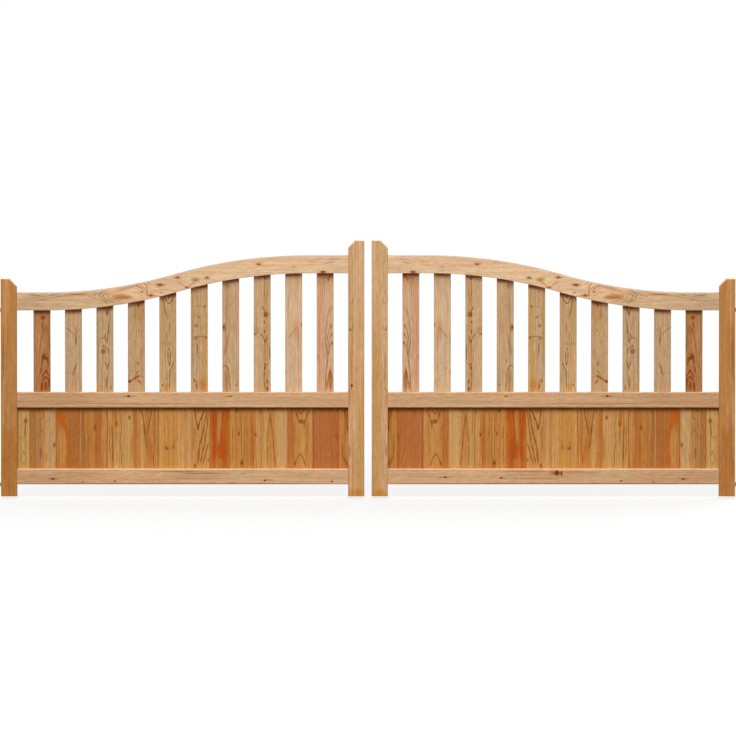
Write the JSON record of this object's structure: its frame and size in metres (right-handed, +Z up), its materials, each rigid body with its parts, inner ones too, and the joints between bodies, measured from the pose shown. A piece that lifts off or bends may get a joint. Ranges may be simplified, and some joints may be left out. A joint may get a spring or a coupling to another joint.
{
  "type": "wooden double gate",
  "caption": "Softwood double gate: swan-neck top rails, open pales over tongue-and-groove boards, and hook-and-band hinges that bolt between posts.",
  "frame": {"origin": "centre of the back face of the lower left hook's plate, where it bolts to its post", "axes": "+X across the opening from the left leaf to the right leaf, +Y from the gate's front to its back, +Z up"},
  "size_m": [3.052, 0.0841, 1.062],
  "materials": {
    "stile_wood": "planed softwood, bare, satin",
    "rail_wood": "planed softwood, bare, satin",
    "pale_wood": "planed softwood, bare, satin",
    "board_wood": "planed softwood, bare, satin",
    "hinge_steel": "hot-dip galvanised, dull"
  },
  "bodies": {
    "hinge_hooks": {"left_upper_hook": "hinge_steel", "left_lower_hook": "hinge_steel", "right_upper_hook": "hinge_steel", "right_lower_hook": "hinge_steel"},
    "left_leaf": {"left_hanging_stile": "stile_wood", "left_meeting_stile": "stile_wood", "left_top_rail": "rail_wood", "left_mid_rail": "rail_wood", "left_bottom_rail": "rail_wood", "left_boards": "board_wood", "left_upper_band": "hinge_steel", "left_lower_band": "hinge_steel", "left_pale_1": "pale_wood", "left_pale_2": "pale_wood", "left_pale_3": "pale_wood", "left_pale_4": "pale_wood", "left_pale_5": "pale_wood", "left_pale_6": "pale_wood", "left_pale_7": "pale_wood", "left_pale_8": "pale_wood", "left_pale_9": "pale_wood", "left_pale_10": "pale_wood"},
    "right_leaf": {"right_hanging_stile": "stile_wood", "right_meeting_stile": "stile_wood", "right_top_rail": "rail_wood", "right_mid_rail": "rail_wood", "right_bottom_rail": "rail_wood", "right_boards": "board_wood", "right_upper_band": "hinge_steel", "right_lower_band": "hinge_steel", "right_pale_1": "pale_wood", "right_pale_2": "pale_wood", "right_pale_3": "pale_wood", "right_pale_4": "pale_wood", "right_pale_5": "pale_wood", "right_pale_6": "pale_wood", "right_pale_7": "pale_wood", "right_pale_8": "pale_wood", "right_pale_9": "pale_wood", "right_pale_10": "pale_wood"}
  },
  "joints": [
    {"name": "left_leaf_swing", "type": "hinge", "parent": "hinge_hooks", "child": "left_leaf", "pos_m": [0.02508, 0, 0], "axis": [0, 0, 1], "range_deg": [0, 90]},
    {"name": "right_leaf_swing", "type": "hinge", "parent": "hinge_hooks", "child": "right_leaf", "pos_m": [3.02692, 0, 0], "axis": [0, 0, -1], "range_deg": [0, 90]}
  ]
}
